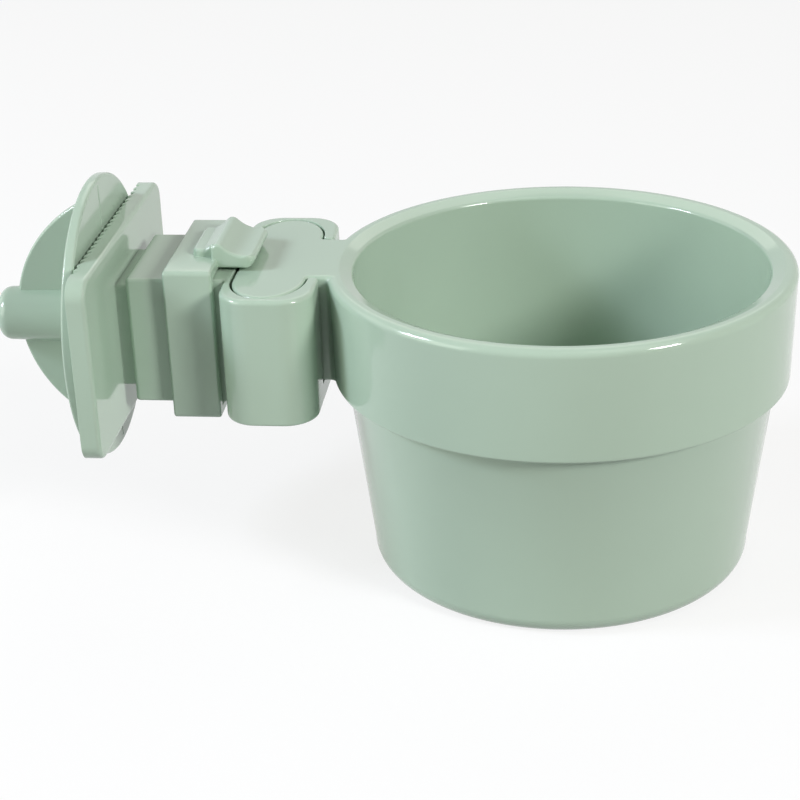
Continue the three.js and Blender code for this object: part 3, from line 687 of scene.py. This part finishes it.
# Table: a plain white sheet under the bowl, which keeps the bowl's soft shadow. It glows to the camera and in
# reflections, and it gives back less light to the bowl than a white sheet would.
TABLE_HALF, TABLE_GAP = 6000.0, 0.02
TABLE_ROUGHNESS, TABLE_SPECULAR, TABLE_GLOW = 0.9, 0.1, 0.8
TABLE_SEEN, TABLE_BOUNCE = 0.9, 0.4
table_mesh = bpy.data.meshes.new("table")
table_corners = SQUARE * TABLE_HALF * MM
table_height = (TOP - BOWL_HEIGHT - TABLE_GAP) * MM
table_mesh.from_pydata([(*corner, table_height) for corner in table_corners], [], [(0, 1, 2, 3)])
table = bpy.data.objects.new("table", table_mesh)
bpy.context.scene.collection.objects.link(table)
white = bpy.data.materials.new("table_white")
white.use_nodes = True
white_nodes, white_links = white.node_tree.nodes, white.node_tree.links
sheet = white_nodes["Principled BSDF"]
sheet.inputs["Roughness"].default_value = TABLE_ROUGHNESS
sheet.inputs["Specular IOR Level"].default_value = TABLE_SPECULAR


def sees_white(nodes, links):
    """A socket that is one for rays from the camera, from a reflection and through glass, and zero for the
    rays that light the object."""
    path = nodes.new("ShaderNodeLightPath")
    total = path.outputs["Is Camera Ray"]
    for kind in ("Is Glossy Ray", "Is Transmission Ray"):
        larger = nodes.new("ShaderNodeMath")
        larger.operation = "MAXIMUM"
        links.new(total, larger.inputs[0])
        links.new(path.outputs[kind], larger.inputs[1])
        total = larger.outputs[0]
    return total


light_path = white_nodes.new("ShaderNodeLightPath")
pale = white_nodes.new("ShaderNodeMapRange")
pale.inputs["To Min"].default_value, pale.inputs["To Max"].default_value = TABLE_SEEN, TABLE_BOUNCE
glow = white_nodes.new("ShaderNodeEmission")
share = white_nodes.new("ShaderNodeMath")
share.operation, share.inputs[1].default_value = "MULTIPLY", TABLE_GLOW
both = white_nodes.new("ShaderNodeMixShader")
white_links.new(light_path.outputs["Is Diffuse Ray"], pale.inputs["Value"])
white_links.new(pale.outputs["Result"], sheet.inputs["Base Color"])
white_links.new(sees_white(white_nodes, white_links), share.inputs[0])
white_links.new(share.outputs[0], both.inputs["Fac"])
white_links.new(sheet.outputs["BSDF"], both.inputs[1])
white_links.new(glow.outputs["Emission"], both.inputs[2])
white_links.new(both.outputs["Shader"], white_nodes["Material Output"].inputs["Surface"])
table_mesh.materials.append(white)

# Studio: white surroundings, a small lamp on each side that puts the bright points on the rounded edges, and
# soft boxes low and behind on the left, high on the right and at the back. Metres, degrees and watts.
WORLD_FILL, WORLD_SEEN = 0.05, 1.0
STUDIO_CENTRE, LAMP_DISTANCE, LAMP_SIZE, BOX_SIZE = Vector((0.07, 0.0, 0.0)), 1.2, 0.27, 0.8
world = bpy.data.worlds.new("studio")
bpy.context.scene.world = world
world.use_nodes = True
world_nodes, world_links = world.node_tree.nodes, world.node_tree.links
background = world_nodes["Background"]
background.inputs["Color"].default_value = (1, 1, 1, 1)
level = world_nodes.new("ShaderNodeMapRange")
level.inputs["To Min"].default_value, level.inputs["To Max"].default_value = WORLD_FILL, WORLD_SEEN
world_links.new(sees_white(world_nodes, world_links), level.inputs["Value"])
world_links.new(level.outputs["Result"], background.inputs["Strength"])
for name, azimuth, elevation, size, power, tint in (
    ("left_lamp", -165, 32, LAMP_SIZE, 6.9, (0.94, 1.0, 1.2)),
    ("left_low_box", -150, 18, BOX_SIZE, 6.2, (0.97, 1.0, 0.9)),
    ("left_back_box", 170, 20, BOX_SIZE, 2.0, (1.0, 1.0, 0.86)),
    ("right_lamp", -36, 27, LAMP_SIZE, 10.2, (1.02, 1.0, 0.99)),
    ("right_high_box", -33, 60, BOX_SIZE, 2.2, (1.0, 1.0, 0.93)),
    ("back_box", 90, 45, BOX_SIZE, 2.2, (1.0, 1.0, 0.9)),
):
    light = bpy.data.lights.new(name, "AREA")
    light.shape, light.size, light.energy, light.color = "SQUARE", size, power, tint
    lamp = bpy.data.objects.new(name, light)
    flat, up = np.radians(azimuth), np.radians(elevation)
    aim = Vector((np.cos(up) * np.cos(flat), np.cos(up) * np.sin(flat), np.sin(up)))
    lamp.location = STUDIO_CENTRE + LAMP_DISTANCE * aim
    lamp.rotation_euler = aim.to_track_quat("Z", "Y").to_euler()
    bpy.context.scene.collection.objects.link(lamp)

# Camera: a long lens above the rim, turned slightly off square and rolled a little, as in the photograph.
# Its place is in metres, its lens in millimetres and its angles in degrees.
CAMERA_PLACE, CAMERA_LENS, CAMERA_SENSOR = (0.11089, -0.38363, 0.1578), 85.365, 36.0
CAMERA_AZIMUTH, CAMERA_ELEVATION, CAMERA_ROLL = np.radians((7.01, 24.73, -2.05))
CAMERA_NEAR, CAMERA_FAR = 0.01, 50.0
camera_data = bpy.data.cameras.new("camera")
camera_data.lens, camera_data.sensor_width = CAMERA_LENS, CAMERA_SENSOR
camera_data.clip_start, camera_data.clip_end = CAMERA_NEAR, CAMERA_FAR
camera = bpy.data.objects.new("camera", camera_data)
bpy.context.scene.collection.objects.link(camera)
ahead = np.array([-np.sin(CAMERA_AZIMUTH) * np.cos(CAMERA_ELEVATION),
                  np.cos(CAMERA_AZIMUTH) * np.cos(CAMERA_ELEVATION), -np.sin(CAMERA_ELEVATION)])
level_right = np.array([np.cos(CAMERA_AZIMUTH), np.sin(CAMERA_AZIMUTH), 0])
level_up = np.cross(level_right, ahead)
right = np.cos(CAMERA_ROLL) * level_right + np.sin(CAMERA_ROLL) * level_up
upright = np.cos(CAMERA_ROLL) * level_up - np.sin(CAMERA_ROLL) * level_right
turn = Matrix(np.stack([right, upright, -ahead], 1).tolist()).to_4x4()
camera.matrix_world = Matrix.Translation(CAMERA_PLACE) @ turn
bpy.context.scene.camera = camera
bpy.context.scene.view_settings.view_transform = "Standard"
